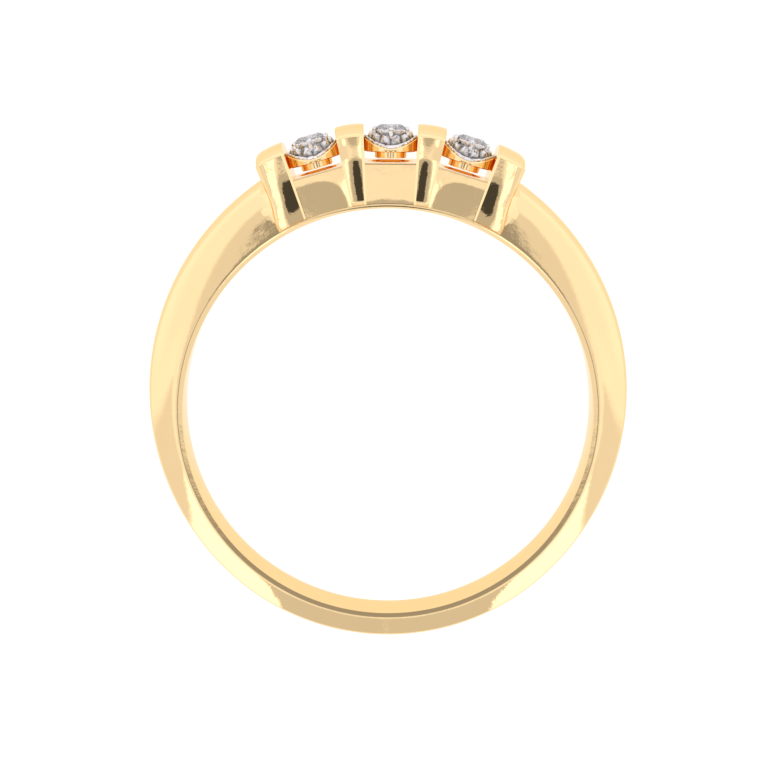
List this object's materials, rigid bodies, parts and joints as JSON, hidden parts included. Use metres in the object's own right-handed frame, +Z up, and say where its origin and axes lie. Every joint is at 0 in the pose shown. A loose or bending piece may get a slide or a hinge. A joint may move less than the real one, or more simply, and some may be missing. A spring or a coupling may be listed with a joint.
{
  "type": "diamond ring",
  "caption": "Yellow gold ring with small brilliant stones in draped white metal settings, held between upright bars above an open gallery on a tapering D-shaped shank.",
  "frame": {"origin": "centre of the bounding box on the surface that the ring lies on", "axes": "+Z up from the surface, within about two degrees of the finger's axis; the stones face -Y; +X to the right as seen from the stones' side"},
  "size_m": [0.02, 0.0216, 0.0034],
  "materials": {
    "gold": "polished",
    "white_metal": "polished",
    "diamond": "faceted and polished"
  },
  "bodies": {
    "root": {"band": "gold", "setting_left": "white_metal", "setting_centre": "white_metal", "setting_right": "white_metal", "diamond_left": "diamond", "diamond_centre": "diamond", "diamond_right": "diamond"}
  },
  "joints": []
}
